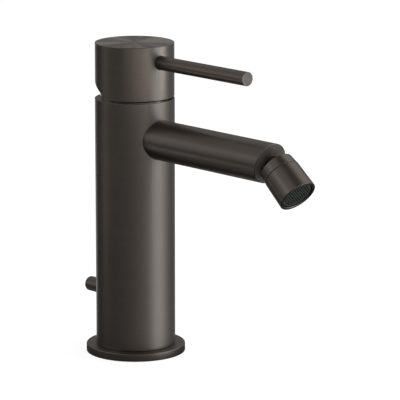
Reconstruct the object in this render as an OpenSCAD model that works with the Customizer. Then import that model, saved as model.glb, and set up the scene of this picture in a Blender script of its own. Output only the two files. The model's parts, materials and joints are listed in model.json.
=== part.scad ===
// Bidet mixer: one hole, single lever, tilting spray head and a pull rod for the waste.
// Millimetres, +Z up, origin at the centre of the flange's underside.
// The spout and the lever point along -Y, the waste knob along +Y.

/* [Body] */
// Outside diameter of the column
col_d = 40; // [39:0.5:44]
// Wall of the column tube
col_wall = 3; // [2.6:0.1:3.2]
// Height of the column above the flange
col_h = 126; // [115:1:160]
// Diameter of the base flange
flange_d = 50; // [48:1:60]
// Thickness of the base flange
flange_t = 4; // [3.5:0.5:6]
// Hole in the flange for the foot's spigot
spigot_d = 30; // [29:0.5:31]
// Width of the gasket under the flange
gasket_w = 3.5; // [2:0.5:4]
// Thickness of the gasket
gasket_t = 1.5; // [1:0.25:2]

/* [Foot] */
// Height of the foot block above the flange
foot_h = 18; // [17:1:24]
// Gap between the foot block and the deck
foot_lift = 0.8; // [0.5:0.1:1.5]
// Tapping diameter of the hose inlets
inlet_d = 9; // [8:0.1:9.4]
// Depth of the hose inlets
inlet_l = 10; // [8:0.5:11]
// Distance between the two hose inlets
inlet_gap = 15; // [14:0.5:16]
// Inlets and risers, distance behind the column's axis
inlet_y = 1; // [0:0.5:2]
// Tapping diameter of the fixing stud's hole
stud_hole_d = 6.8; // [5:0.1:7]
// Depth of the fixing stud's hole
stud_hole_l = 14; // [10:1:16]
// Fixing stud, distance in front of the column's axis
stud_hole_y = 9; // [8.5:0.25:9.5]
// Screw that locks the column on the foot
lock_screw_d = 4; // [3:0.5:5]
// Bearing of the lock screw from +X
lock_screw_angle = 30; // [20:5:40]

/* [Risers] */
// Outside diameter of the riser tubes
riser_d = 8; // [7:0.5:8]
// Wall of the riser tubes
riser_wall = 1; // [0.8:0.1:1.2]
// Depth of the sockets for the risers
socket_l = 8; // [7:0.5:9]
// Thickness of a riser's seal ring
riser_ring_t = 1.2; // [1:0.1:1.4]

/* [Valve block] */
// Height of the valve block
block_h = 39.5; // [36:0.5:44]
// Top of the block below the top of the column
block_recess = 0.5; // [0.4:0.1:0.8]
// Spout axis below the top of the column
spout_drop = 19; // [18.8:0.1:22]
// Diameter of the hot and cold passages
passage_d = 5.2; // [4:0.1:5.4]
// Outlet passage, distance in front of the column's axis
outlet_y = 6; // [5.5:0.25:6.5]
// Flat on the block behind the spout, distance from the axis
spout_seat = 16; // [15.5:0.1:16.2]

/* [Cartridge] */
// Diameter of the cartridge
cart_d = 25; // [24.5:0.1:25.4]
// Height of the cartridge's wide part
cart_body_h = 9; // [8.6:0.1:9.2]
// Diameter of the cartridge's neck
neck_d = 20.8; // [20.4:0.1:21]
// Thickness of the cartridge's base
base_t = 2.2; // [2:0.1:2.3]
// Thickness of the fixed disc
fixed_disc_t = 1.8; // [1.5:0.1:1.9]
// Diameter of the moving disc
moving_disc_d = 13.6; // [12:0.2:14]
// Thickness of the moving disc
moving_disc_t = 1.6; // [1.4:0.1:1.7]
// Thickness of the disc carrier's plate
carrier_t = 1.4; // [1.2:0.1:1.5]
// Diameter of the rotor that guides the spindle
rotor_d = 17.8; // [17:0.1:18]
// Width of the square spindle
spindle_w = 6; // [5:0.25:6.5]
// Diameter of the spindle's pivot pin
pivot_pin_d = 2.4; // [2:0.1:2.8]
// Length of the nut's thread
nut_thread_l = 4; // [3:0.25:4.5]
// Height of the nut's hexagon
nut_hex_h = 4; // [3:0.25:4.5]
// Gap between the dome ring and the cap's hollow
dome_gap = 0.85; // [0.6:0.05:1.3]
// Height of the dome ring's top above the pivot
dome_rise = 3; // [2:0.25:3.5]

/* [Handle] */
// Diameter of the cap
cap_d = 39.7; // [39.4:0.1:41]
// Height of the cap
cap_h = 27; // [26:0.5:32]
// Gap between the cap and the column
cap_gap = 1; // [0.8:0.1:1.5]
// Wall of the cap
cap_wall = 1.5; // [1.2:0.1:2.5]
// Bevel round the cap's edges
cap_bevel = 0.3; // [0.1:0.1:0.6]
// Pivot above the cap's lower edge
pivot_h = 3; // [2.8:0.1:3.4]
// Height of the cap's hollow above the pivot
hollow_h = 10.5; // [10:0.25:11]
// Slope of the relief under the cap's rear
relief_angle = 26.5; // [25.5:0.5:32]
// Start of the relief behind the axis
relief_y = 1.2; // [0.8:0.1:2.4]
// Height of the step where the relief starts
relief_step = 1.75; // [1:0.25:3]
// Diameter of the lever
lever_d = 7; // [6:0.5:8]
// Lever axis below the top of the cap
lever_drop = 8.2; // [8:0.1:9]
// Lever tip, distance from the column's axis
lever_reach = 82.3; // [60:0.1:110]
// Depth of the lever's seat in the cap
lever_seat = 2.2; // [1:0.1:3]
// Diameter of the lever's thread
lever_thread_d = 6; // [5:0.25:6]

/* [Spout] */
// Outside diameter of the spout
spout_d = 20; // [19:0.25:20]
// Wall of the spout tube
spout_wall = 2; // [1.5:0.1:2.4]
// Centre of the spout's end, distance from the column's axis
spout_reach = 98; // [80:1:130]
// Mitre of the spout's end
mitre = 15; // [5:1:20]
// Thickness of the spout's closed end
end_wall = 5; // [4.5:0.1:6]
// Thickness of the spout's inner shoulder
shoulder_t = 3.5; // [3:0.1:5]
// Thread diameter of the hollow bolt that holds the spout
nipple_d = 8.9; // [8:0.1:9]

/* [Spray head] */
// Diameter of the ball
ball_d = 11; // [10.6:0.1:11.2]
// Centre of the ball in front of the spout's end
ball_out = 5.8; // [5.7:0.1:6.4]
// Diameter of the ball stud's shank
shank_d = 8; // [7:0.1:8.4]
// Diameter of the ball stud's neck
neck_pin_d = 6.4; // [5.6:0.1:6.6]
// Waterway through the ball stud
stud_bore_d = 3.8; // [3:0.1:4]
// Most that the head tilts away from the stud
max_tilt = 25; // [15:1:25]
// Rear rim of the collar behind the ball's centre
rim_back = 2; // [1.8:0.1:2.1]
// Seam between collar and shell, in front of the ball's centre
seam_s = 3.6; // [3:0.1:5]
// Mouth of the shell in front of the ball's centre
mouth_s = 18; // [17.4:0.1:24]
// Radius of the collar's rear rim
rim_r = 8.55; // [8.3:0.05:8.6]
// Radius at the seam
seam_r = 9.3; // [9.2:0.05:9.8]
// Radius at the mouth
mouth_r = 9.7; // [9.4:0.05:10.4]
// Diameter of the aerator
aerator_d = 15.9; // [15:0.1:16]
// Pitch of the aerator's ribs
rib_pitch = 1.08; // [0.9:0.02:1.4]
// Turn of the aerator's ribs
rib_turn = -40; // [-90:5:90]

/* [Waste] */
// Diameter of the pull rod
rod_d = 5; // [4:0.25:5]
// Pull rod, distance behind the column's axis
rod_y = 11.5; // [11.2:0.1:11.6]
// Height of the knob's axis above the deck
knob_z = 28.2; // [27:0.1:34]
// Diameter of the knob
knob_d = 7.5; // [6:0.25:10]
// End of the knob, distance from the column's axis
knob_reach = 35.8; // [30:0.1:50]
// Gap between the knob and the column
knob_gap = 1.5; // [0.5:0.1:3]
// Diameter of the knob's stem
stem_d = 4; // [3:0.25:4]
// Lift of the knob
knob_travel = 18; // [10:1:30]

/* [Hidden] */

$fn = 96;
// How far a cutter runs past the face that it opens
over = 1;
// Radial clearance of a turning or sliding fit
run = 0.05;
// Radial clearance of a thread or a slip fit
slip = 0.05;
// Gap between two parts that touch face to face but move apart
face_gap = 0.05;
// How much thinner a seal ring is than its groove
ring_slack = 0.04;

// Colours as the photograph shows them, and usual ones inside
gunmetal = [0.22, 0.21, 0.2];
brass = [0.76, 0.62, 0.32];
steel = [0.7, 0.7, 0.72];
copper = [0.72, 0.45, 0.3];
rubber = [0.08, 0.08, 0.08];
nylon = [0.88, 0.88, 0.84];
ceramic = [0.95, 0.94, 0.9];
dark_plastic = [0.16, 0.18, 0.17];

// Column
col_r = col_d / 2;
col_bore_r = col_r - col_wall;
col_top_z = flange_t + col_h;
core_r = col_bore_r - slip;

// Foot
foot_top_z = flange_t + foot_h;
foot_socket_z = foot_top_z - socket_l;
lock_screw_z = flange_t + foot_h / 2;
lock_screw_in = 3.5;
lock_tip_gap = 0.2;
lock_sink = 0.4;
lock_key_r = 1.15;
lock_key_l = 2;
bush_t = 1;
bush_l = 8;

// Valve block
block_top_z = col_top_z - block_recess;
block_z = block_top_z - block_h;
block_socket_z = block_z + socket_l;
spout_z = col_top_z - spout_drop;
neck_z = block_top_z - nut_thread_l;
seat_z = neck_z - cart_body_h;
nut_shoulder = 1.5;
nut_thread_r = cart_d / 2 + nut_shoulder;
outlet_r = 2.6;
waterway_r = 2.8;
nipple_in = 7.5;

// Risers
riser_r = riser_d / 2;
riser_end_gap = 0.2;
ring_groove_w = 2 * riser_ring_t * 0.75;
ring_mid = socket_l / 2;

// Cap, pivot and lever
cap_r = cap_d / 2;
cap_z = col_top_z + cap_gap;
cap_top_z = cap_z + cap_h;
pivot_z = cap_z + pivot_h;
hollow_r = cap_r - cap_wall;
hollow_top_z = pivot_z + hollow_h;
lever_z = cap_top_z - lever_drop;
lever_r = lever_d / 2;
lever_seat_slip = 0.1;
lever_in = 10.5;
boss_r = spindle_w;
boss_h = 3.5;
spindle_top_z = lever_z + lever_thread_d / 2 + 0.2;
key_slip = 0.05;
grip_gap = 0.2;
grub_gap = 0.85;
grub_key = 1.5;
grub_key_l = 2.5;

// Cartridge
cart_r = cart_d / 2;
cart_wall = 1.3;
cart_hollow_r = cart_r - cart_wall;
neck_r = neck_d / 2;
neck_wall = (neck_d - rotor_d) / 2 - run;
neck_bore_r = neck_r - neck_wall;
neck_rise = 2.5;
neck_top_z = pivot_z + neck_rise;
rotor_r = rotor_d / 2;
rotor_step = 1.5;
rotor_top_r = rotor_r - rotor_step;
rotor_rise = 2;
rotor_top_z = pivot_z + rotor_rise;
rotor_step_z = pivot_z - rotor_rise;
hollow_ceiling_z = neck_z - 1.2;
fixed_disc_z = seat_z + base_t;
moving_disc_z = fixed_disc_z + fixed_disc_t + face_gap;
carrier_z = moving_disc_z + moving_disc_t;
carrier_boss_r = 3.2;
carrier_boss_h = 2.9;
carrier_top_z = carrier_z + carrier_t + carrier_boss_h;
carrier_r = moving_disc_d / 2 - 0.4;
rotor_z = carrier_top_z + 0.4;
tip_r = 1.6;
tip_socket_r = tip_r + 0.15;
tip_z = carrier_top_z - 0.6;
arm_r = 1;
hub_drop = 3.5;
hub_bottom_z = pivot_z - hub_drop;
slot_half = 5.5;
port_r = 2.1;
seal_ring_t = 0.9;
seal_r = port_r + 0.85;
hex_over = 0.35;
dome_r = hollow_r - dome_gap;
dome_wall = 1.6;
dome_lip = 2.9;

// Spout
spout_r = spout_d / 2;
spout_bore_r = spout_r - spout_wall;
nipple_r = nipple_d / 2;
nipple_head_r = spout_bore_r - 1;
nipple_head_h = 3;
nipple_key = 3.4;
spout_ring_r = 7.2;
spout_ring_t = 1.2;

// Ball stud
ball_r = ball_d / 2;
shank_r = shank_d / 2;
stud_tail_r = shank_r - 0.8;
stud_tail_l = 3.5;
stud_flange_r = shank_r + 0.8;
stud_flange_t = 0.8;
stud_ring_t = 0.8;
stud_ring_z = -2.4;
stud_nut_h = 2.5;
stud_nut_r = 6.2;

// Spray head, measured along its axis from the ball's centre
seam_step = 1.7;
spigot_r = seam_r - seam_step;
collar_bore_r = ball_r + 1;
spigot_l = 5;
spigot_s = seam_s + spigot_l;
seat_s = 0.5;
seat_bore_r = 3.2;
seat_ring_t = 0.85;
shell_step_s = spigot_s + 0.4;
shell_ledge = 1.6;
washer_s = shell_step_s + shell_ledge;
washer_t = 1;
washer_step = 2;
aerator_s = washer_s + washer_t;
aerator_r = aerator_d / 2;
grille_r = aerator_r - 0.3;
grille_rim = 0.7;
rib_slot_l = 1.4;
grille_t = 1;
grille_s = mouth_s - 0.6 - grille_t;
grille_plug_r = aerator_r - 1.4;
grille_plug_l = 2.4;
screen_t = 0.6;
screen_hole_r = 0.9;
screen_mid_r = 1.2;
mouth_lip = 0.5;
rim_round = 0.7;
mouth_round = 0.45;
seam_bevel = 0.2;

// Waste
rod_r = rod_d / 2;
rod_z = 1.5;
rod_head = 5.5;
rod_tap_r = 1.65;
rod_tap_l = 10;
stem_r = stem_d / 2;
stem_in = 2;
stem_grip = 6;
slot_slip = 0.25;
knob_r = knob_d / 2;
knob_round = 1;

// Centre of the ball in the row's frame
ball_y = spout_reach + ball_out * cos(mitre);
ball_z = spout_z - ball_out * sin(mitre);

// Points of a quarter or other arc about (x, z), from angle a to b
function arc(x, z, r, a, b, n = 6) = [for (i = [0 : n])
    [x + r * cos(a + (b - a) * i / n), z + r * sin(a + (b - a) * i / n)]];

// Places children with their +Z along the ball stud, out of the spout's end
module at_stud() {
    translate([0, -spout_reach, spout_z]) rotate([90 + mitre, 0, 0]) children();
}

// Places children with their +Z along the spray head's axis, from the ball's centre
module at_head() {
    translate([0, -ball_y, ball_z]) rotate([90 + mitre + max_tilt, 0, 0]) children();
}

// Places children with their +Z along -Y, at height z
module forward(z) {
    translate([0, 0, z]) rotate([90, 0, 0]) children();
}

// Places children at both riser axes
module at_risers() {
    for (side = [-1, 1]) translate([side * inlet_gap / 2, inlet_y, 0]) children();
}

// Places children over the hot, cold and outlet passages
module at_ports() {
    at_risers() children();
    translate([0, -outlet_y, 0]) children();
}

// Tube standing on z
module tube(outer, inner, z, h) {
    translate([0, 0, z]) difference() {
        cylinder(r = outer, h = h);
        translate([0, 0, -over]) cylinder(r = inner, h = h + 2 * over);
    }
}

// Bore from z up to z + h
module bore(r, z, h) {
    translate([0, 0, z]) cylinder(r = r, h = h);
}

// Seal ring that lies round a shaft of radius inner
module seal(inner, t, z) {
    translate([0, 0, z]) rotate_extrude()
        translate([inner + t / 2, 0]) circle(d = t - ring_slack, $fn = 32);
}

// Groove for a ring of thickness t round a shaft of radius inner
module groove(inner, t, w, z) {
    translate([0, 0, z - w / 2]) difference() {
        cylinder(r = inner + t, h = w);
        translate([0, 0, -over]) cylinder(r = inner - over / 2, h = w + 2 * over);
    }
}

module base_flange() {
    bevel = 0.4;
    inner = spigot_d / 2;
    color(gunmetal) difference() {
        rotate_extrude() polygon([[inner, 0], [flange_d / 2, 0], [flange_d / 2, flange_t - bevel],
            [flange_d / 2 - bevel, flange_t], [inner, flange_t]]);
        gasket_ring(over);
    }
}

// Ring that the gasket fills, reaching down by extra
module gasket_ring(extra) {
    outer = flange_d / 2 - 1.5;
    translate([0, 0, -extra]) difference() {
        cylinder(r = outer, h = gasket_t + extra);
        translate([0, 0, -over]) cylinder(r = outer - gasket_w, h = gasket_t + extra + 2 * over);
    }
}

module base_gasket() {
    color(rubber) gasket_ring(0);
}

module column() {
    color(gunmetal) difference() {
        tube(col_r, col_bore_r, flange_t, col_h);
        forward(spout_z) cylinder(r = spout_r + slip, h = col_r + over);
        rod_slot();
        lock_screw_axis() cylinder(r = lock_screw_d / 2 + slip, h = col_r + over);
    }
}

// Slot in the column's rear for the knob's stem
module rod_slot() {
    r = stem_r + slot_slip;
    for (z = [knob_z, knob_z + knob_travel])
        translate([0, col_bore_r - over, z]) rotate([-90, 0, 0]) cylinder(r = r, h = col_wall + 2 * over);
    translate([-r, col_bore_r - over, knob_z]) cube([2 * r, col_wall + 2 * over, knob_travel]);
}

// Places children with their +Z outward along the lock screw
module lock_screw_axis() {
    translate([0, 0, lock_screw_z]) rotate([0, 0, lock_screw_angle]) rotate([0, 90, 0]) children();
}

module column_screw() {
    tip = core_r - lock_screw_in + lock_tip_gap;
    color(steel) lock_screw_axis() difference() {
        translate([0, 0, tip]) cylinder(d = lock_screw_d, h = col_r - tip - lock_sink);
        translate([0, 0, col_r - lock_key_l]) cylinder(r = lock_key_r, h = lock_key_l, $fn = 6);
    }
}

module foot_block() {
    color(brass) difference() {
        union() {
            bore(core_r, flange_t, foot_h);
            bore(spigot_d / 2 - slip, foot_lift, flange_t);
        }
        at_risers() {
            bore(inlet_d / 2, foot_lift - over, inlet_l + over);
            bore(riser_r - riser_wall, foot_lift, foot_h);
            bore(riser_r + slip, foot_socket_z, socket_l + over);
            groove(riser_r, riser_ring_t, ring_groove_w, foot_socket_z + ring_mid);
        }
        translate([0, -stud_hole_y, 0]) bore(stud_hole_d / 2, foot_lift - over, stud_hole_l + over);
        translate([0, rod_y, 0]) {
            bore(rod_r + run, 0, foot_top_z + over);
            bore(rod_r + bush_t + slip, foot_top_z - bush_l, bush_l + over);
        }
        lock_screw_axis() translate([0, 0, core_r - lock_screw_in])
            cylinder(r = lock_screw_d / 2 + slip, h = lock_screw_in + over);
    }
}

module riser(side) {
    z = foot_socket_z + riser_end_gap;
    translate([side * inlet_gap / 2, inlet_y, 0])
        tube(riser_r, riser_r - riser_wall, z, block_socket_z - riser_end_gap - z);
}

module hot_riser() {
    color(copper) riser(-1);
}

module cold_riser() {
    color(copper) riser(1);
}

module riser_o_rings() {
    color(rubber) at_risers() {
        seal(riser_r, riser_ring_t, foot_socket_z + ring_mid);
        seal(riser_r, riser_ring_t, block_socket_z - ring_mid);
    }
}

module valve_block() {
    color(brass) difference() {
        bore(core_r, block_z, block_h);
        bore(cart_r + slip, seat_z, block_h);
        bore(nut_thread_r, neck_z, block_h);
        at_risers() {
            bore(riser_r + slip, block_z - over, socket_l + over);
            bore(passage_d / 2, block_z, seat_z - block_z + over);
            groove(riser_r, riser_ring_t, ring_groove_w, block_socket_z - ring_mid);
        }
        translate([0, -outlet_y, 0]) bore(outlet_r, spout_z, seat_z - spout_z + over);
        forward(spout_z) {
            bore(spout_r + 2 * slip, spout_seat, core_r);
            bore(nipple_r + slip, spout_seat - nipple_in, core_r);
            bore(waterway_r, outlet_y - outlet_r, core_r);
        }
    }
}

module cartridge_base() {
    color(nylon) difference() {
        bore(cart_hollow_r - slip, seat_z, base_t);
        at_ports() {
            bore(port_r, seat_z - over, base_t + 2 * over);
            groove(seal_r - seal_ring_t / 2, seal_ring_t, seal_ring_t, seat_z + seal_ring_t / 2);
        }
    }
}

module cartridge_seals() {
    color(rubber) at_ports() seal(seal_r - seal_ring_t / 2, seal_ring_t, seat_z + seal_ring_t / 2);
}

module fixed_disc() {
    color(ceramic) difference() {
        bore(cart_hollow_r - 2 * slip, fixed_disc_z, fixed_disc_t);
        at_ports() bore(port_r, fixed_disc_z - over, fixed_disc_t + 2 * over);
    }
}

module moving_disc() {
    color(ceramic) difference() {
        bore(moving_disc_d / 2, moving_disc_z, moving_disc_t);
        bore(moving_disc_d / 3.4, moving_disc_z - over, moving_disc_t / 2 + over);
    }
}

module disc_carrier() {
    socket_z = tip_z - tip_r - 0.3;
    color(nylon) difference() {
        union() {
            bore(carrier_r, carrier_z, carrier_t);
            bore(carrier_boss_r, carrier_z, carrier_t + carrier_boss_h);
        }
        bore(tip_socket_r, socket_z, carrier_top_z - socket_z + over);
    }
}

module cartridge_housing() {
    top_r = rotor_top_r + run;
    color(nylon) rotate_extrude() polygon([[cart_r, seat_z], [cart_r, neck_z], [neck_r, neck_z],
        [neck_r, neck_top_z], [top_r, neck_top_z], [top_r, rotor_step_z + 2 * run],
        [neck_bore_r, rotor_step_z + 2 * run], [neck_bore_r, hollow_ceiling_z],
        [cart_hollow_r, hollow_ceiling_z], [cart_hollow_r, seat_z]]);
}

module cartridge_rotor() {
    half = spindle_w / 2 + run;
    color(nylon) difference() {
        union() {
            bore(rotor_r, rotor_z, rotor_step_z - rotor_z);
            bore(rotor_top_r, rotor_z, rotor_top_z - rotor_z);
        }
        translate([-half, -slot_half, rotor_z - over])
            cube([2 * half, 2 * slot_half, rotor_top_z - rotor_z + 2 * over]);
        pivot_axis() cylinder(r = pivot_pin_d / 2 + 0.01, h = 2 * rotor_r, center = true);
    }
}

// Places children with their +Z along the pivot, which lies across the cap
module pivot_axis() {
    translate([0, 0, pivot_z]) rotate([0, 90, 0]) children();
}

module spindle() {
    half = spindle_w / 2;
    color(steel) difference() {
        union() {
            translate([-half, -half, hub_bottom_z])
                cube([spindle_w, spindle_w, spindle_top_z - hub_bottom_z]);
            bore(arm_r, tip_z, hub_bottom_z - tip_z + over);
            translate([0, 0, tip_z]) sphere(r = tip_r);
        }
        pivot_axis() cylinder(r = pivot_pin_d / 2 + run, h = spindle_w + 2 * over, center = true);
    }
}

module spindle_pin() {
    color(steel) pivot_axis() cylinder(d = pivot_pin_d, h = 2 * rotor_top_r - 0.4, center = true);
}

module cartridge_nut() {
    color(brass) difference() {
        union() {
            bore(nut_thread_r - slip, neck_z, nut_thread_l);
            translate([0, 0, block_top_z]) cylinder(r = nut_thread_r + hex_over, h = nut_hex_h, $fn = 6);
        }
        bore(neck_r + 2 * slip, neck_z - over, nut_thread_l + nut_hex_h + 2 * over);
    }
}

module dome_ring() {
    inner = nut_thread_r + hex_over + 0.1;
    lip = dome_r - dome_wall - dome_lip;
    top = pivot_z + dome_rise - block_top_z;
    color(steel) rotate_extrude() difference() {
        intersection() {
            translate([0, pivot_z]) circle(r = dome_r);
            translate([0, block_top_z]) square([cap_r, top]);
        }
        translate([-over, block_top_z - over]) square([inner + over, nut_hex_h + over]);
        translate([-over, block_top_z]) square([lip + over, top + over]);
        translate([core_r, block_top_z - over]) square([cap_r, block_recess + face_gap + over]);
    }
}

module handle_cap() {
    color(gunmetal) difference() {
        rotate_extrude() polygon([[0, cap_z], [cap_r - cap_bevel, cap_z], [cap_r, cap_z + cap_bevel],
            [cap_r, cap_top_z - cap_bevel], [cap_r - cap_bevel, cap_top_z], [0, cap_top_z]]);
        difference() {
            bore(hollow_r, cap_z - over, hollow_top_z - cap_z + over);
            bore(boss_r, hollow_top_z - boss_h, boss_h + over);
        }
        spindle_socket();
        forward(lever_z) {
            bore(lever_r + lever_seat_slip, cap_r - lever_seat, lever_seat + over);
            bore(lever_thread_d / 2 + slip, 0, cap_r);
        }
        relief();
    }
}

// Space cut from the cap's rear, so that it clears the column when the handle lifts
module relief() {
    intersection() {
        translate([-cap_d, relief_y, cap_z - over]) cube([2 * cap_d, cap_d, cap_d]);
        translate([0, relief_y, cap_z + relief_step]) rotate([relief_angle, 0, 0])
            translate([-cap_d, -cap_d, -cap_h]) cube([2 * cap_d, 3 * cap_d, cap_h]);
    }
}

module spindle_socket() {
    w = spindle_w + 2 * key_slip;
    z = hollow_top_z - boss_h - over;
    translate([-w / 2, -w / 2, z]) cube([w, w, spindle_top_z + grip_gap - z]);
}

module lever_pin() {
    bevel = 0.3;
    seat_y = cap_r - lever_seat;
    color(gunmetal) forward(lever_z) rotate_extrude() polygon([[0, seat_y - lever_in + lever_seat],
        [lever_thread_d / 2, seat_y - lever_in + lever_seat], [lever_thread_d / 2, seat_y],
        [lever_r, seat_y], [lever_r, lever_reach - bevel], [lever_r - bevel, lever_reach],
        [0, lever_reach]]);
}

module handle_screw() {
    start = spindle_w / 2 + grip_gap;
    end = cap_r - lever_in - grub_gap;
    color(steel) forward(lever_z) difference() {
        bore(lever_thread_d / 2, start, end - start);
        translate([0, 0, end - grub_key_l]) cylinder(r = grub_key, h = grub_key_l + over, $fn = 6);
    }
}

module spout() {
    reach = 2 * spout_reach;
    color(gunmetal) difference() {
        forward(spout_z) bore(spout_r, spout_seat, reach);
        at_stud() translate([-reach, -reach, 0]) cube([2 * reach, 2 * reach, 2 * reach]);
        intersection() {
            forward(spout_z) bore(spout_bore_r, spout_seat + shoulder_t, reach);
            at_stud() translate([-reach, -reach, -2 * reach - end_wall])
                cube([2 * reach, 2 * reach, 2 * reach]);
        }
        forward(spout_z) {
            bore(nipple_r + 2 * slip, spout_seat - over, shoulder_t + 2 * over);
            groove(spout_ring_r - spout_ring_t / 2, spout_ring_t, spout_ring_t,
                spout_seat + spout_ring_t / 2);
        }
        at_stud() bore(shank_r + run, -end_wall - 2 * over, end_wall + 3 * over);
    }
}

module spout_nipple() {
    head_y = spout_seat + shoulder_t;
    tail_y = spout_seat - nipple_in + 0.3;
    color(brass) forward(spout_z) difference() {
        union() {
            bore(nipple_r, tail_y, head_y - tail_y);
            bore(nipple_head_r, head_y, nipple_head_h);
        }
        bore(waterway_r, tail_y - over, head_y + nipple_head_h);
        translate([0, 0, head_y + over / 2]) cylinder(r = nipple_key, h = nipple_head_h, $fn = 6);
    }
}

module spout_o_ring() {
    color(rubber) forward(spout_z)
        seal(spout_ring_r - spout_ring_t / 2, spout_ring_t, spout_seat + spout_ring_t / 2);
}

module ball_stud() {
    length = stud_tail_l + end_wall + ball_out + ball_r;
    color(gunmetal) at_stud() difference() {
        union() {
            bore(shank_r, -end_wall, end_wall + face_gap);
            bore(stud_tail_r, -end_wall - stud_tail_l, stud_tail_l + over);
            bore(stud_flange_r, face_gap, stud_flange_t);
            bore(neck_pin_d / 2, 0, ball_out);
            translate([0, 0, ball_out]) sphere(r = ball_r);
        }
        bore(stud_bore_d / 2, -end_wall - stud_tail_l - over, length + 2 * over);
        groove(shank_r - stud_ring_t, 2 * stud_ring_t, stud_ring_t * 1.6, stud_ring_z);
    }
}

module stud_o_ring() {
    color(rubber) at_stud() seal(shank_r - stud_ring_t, stud_ring_t, stud_ring_z);
}

module stud_nut() {
    z = -end_wall - face_gap - stud_nut_h;
    color(brass) at_stud() difference() {
        translate([0, 0, z]) cylinder(r = stud_nut_r, h = stud_nut_h, $fn = 6);
        bore(stud_tail_r + 0.01, z - over, stud_nut_h + 2 * over);
    }
}

module nozzle_collar() {
    slope = (seam_r - rim_r) / (seam_s + rim_back);
    round_r = rim_r + slope * rim_round;
    color(gunmetal) at_head() rotate_extrude() difference() {
        polygon(concat([[0, -rim_back]],
            arc(round_r - rim_round, rim_round - rim_back, rim_round, -90, 0),
            [[seam_r - seam_bevel, seam_s - seam_bevel], [seam_r - 2 * seam_bevel, seam_s],
                [spigot_r - slip, seam_s], [spigot_r - slip, spigot_s], [0, spigot_s]]));
        intersection() {
            circle(r = ball_r + run);
            translate([0, -ball_d]) square([ball_d, 2 * ball_d]);
        }
        translate([-over, seat_s - 0.1]) square([collar_bore_r + over, mouth_s]);
    }
}

module ball_seat() {
    groove_w = seat_ring_t * 1.5;
    groove_s = seam_s + 1;
    color(nylon) at_head() rotate_extrude() difference() {
        translate([seat_bore_r, seat_s])
            square([collar_bore_r - slip - seat_bore_r, shell_step_s - slip - seat_s]);
        circle(r = ball_r + run);
        translate([collar_bore_r - seat_ring_t, groove_s - groove_w / 2]) square([over, groove_w]);
    }
}

module seat_o_ring() {
    color(rubber) at_head() seal(collar_bore_r - seat_ring_t, seat_ring_t, seam_s + 1);
}

module nozzle_shell() {
    color(gunmetal) at_head() rotate_extrude() polygon(concat(
        [[seam_r - 2 * seam_bevel, seam_s], [seam_r, seam_s + 2 * seam_bevel]],
        arc(mouth_r - mouth_round, mouth_s - mouth_round, mouth_round, 0, 90),
        [[aerator_r + slip + mouth_lip, mouth_s], [aerator_r + slip, mouth_s - 2 * mouth_lip],
            [aerator_r + slip, washer_s], [collar_bore_r - 0.5, washer_s],
            [collar_bore_r - 0.5, shell_step_s], [spigot_r, shell_step_s], [spigot_r, seam_s]]));
}

module aerator_washer() {
    color(rubber) at_head() tube(aerator_r, seat_bore_r + washer_step, washer_s, washer_t);
}

module aerator_housing() {
    inner = grille_plug_r + slip;
    color(dark_plastic) at_head() tube(aerator_r, inner, aerator_s, grille_s - aerator_s);
}

module aerator_screen() {
    holes = 8;
    s = aerator_s - over;
    depth = screen_t + 2 * over;
    color(steel) at_head() difference() {
        bore(grille_plug_r, aerator_s, screen_t);
        for (i = [0 : holes - 1]) rotate([0, 0, i * 360 / holes])
            translate([grille_plug_r / 1.6, 0, 0]) bore(screen_hole_r, s, depth);
        bore(screen_mid_r, s, depth);
    }
}

// Ribbed face of the aerator: straight slots between ribs, inside a plain rim
module aerator_grille() {
    rim = grille_r - grille_rim;
    count = floor(rim / rib_pitch);
    color(dark_plastic) at_head() difference() {
        union() {
            bore(grille_r, grille_s, grille_t);
            bore(grille_plug_r, grille_s - grille_plug_l, grille_plug_l);
        }
        rotate([0, 0, rib_turn]) for (i = [-count : count - 1]) {
            y = (i + 0.5) * rib_pitch;
            half = sqrt(rim * rim - y * y);
            translate([-half, y - rib_pitch / 4, grille_s + grille_t - rib_slot_l])
                cube([2 * half, rib_pitch / 2, rib_slot_l + over]);
        }
    }
}

module pull_rod() {
    color(steel) translate([0, rod_y, 0]) difference() {
        bore(rod_r, rod_z, knob_z + rod_head - rod_z);
        bore(rod_tap_r, rod_z - over, rod_tap_l + over);
        translate([0, -stem_in, knob_z]) rotate([-90, 0, 0]) cylinder(r = stem_r + 0.01, h = rod_d);
    }
}

module rod_bush() {
    color(nylon) translate([0, rod_y, 0])
        tube(rod_r + bush_t, rod_r + run, foot_top_z - bush_l, bush_l);
}

module knob_stem() {
    start = rod_y - stem_in + 0.1;
    end = col_r + knob_gap + stem_grip;
    color(steel) translate([0, start, knob_z]) rotate([-90, 0, 0]) cylinder(r = stem_r, h = end - start);
}

module waste_knob() {
    start = col_r + knob_gap;
    color(gunmetal) translate([0, 0, knob_z]) rotate([-90, 0, 0]) difference() {
        rotate_extrude() polygon(concat([[0, start], [knob_r - 0.3, start], [knob_r, start + 0.3]],
            arc(knob_r - knob_round, knob_reach - knob_round, knob_round, 0, 90),
            [[0, knob_reach]]));
        bore(stem_r + 0.01, start - over, stem_grip + 0.3 + over);
    }
}

base_flange();
base_gasket();
column();
column_screw();
foot_block();
hot_riser();
cold_riser();
riser_o_rings();
valve_block();
cartridge_base();
cartridge_seals();
fixed_disc();
moving_disc();
disc_carrier();
cartridge_housing();
cartridge_rotor();
spindle();
spindle_pin();
cartridge_nut();
dome_ring();
handle_cap();
lever_pin();
handle_screw();
spout();
spout_nipple();
spout_o_ring();
ball_stud();
stud_o_ring();
stud_nut();
nozzle_collar();
ball_seat();
seat_o_ring();
nozzle_shell();
aerator_washer();
aerator_housing();
aerator_screen();
aerator_grille();
pull_rod();
rod_bush();
knob_stem();
waste_knob();
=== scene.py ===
"""Looks of the bidet mixer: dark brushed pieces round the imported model, on a white studio floor."""
import json
import math

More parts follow.
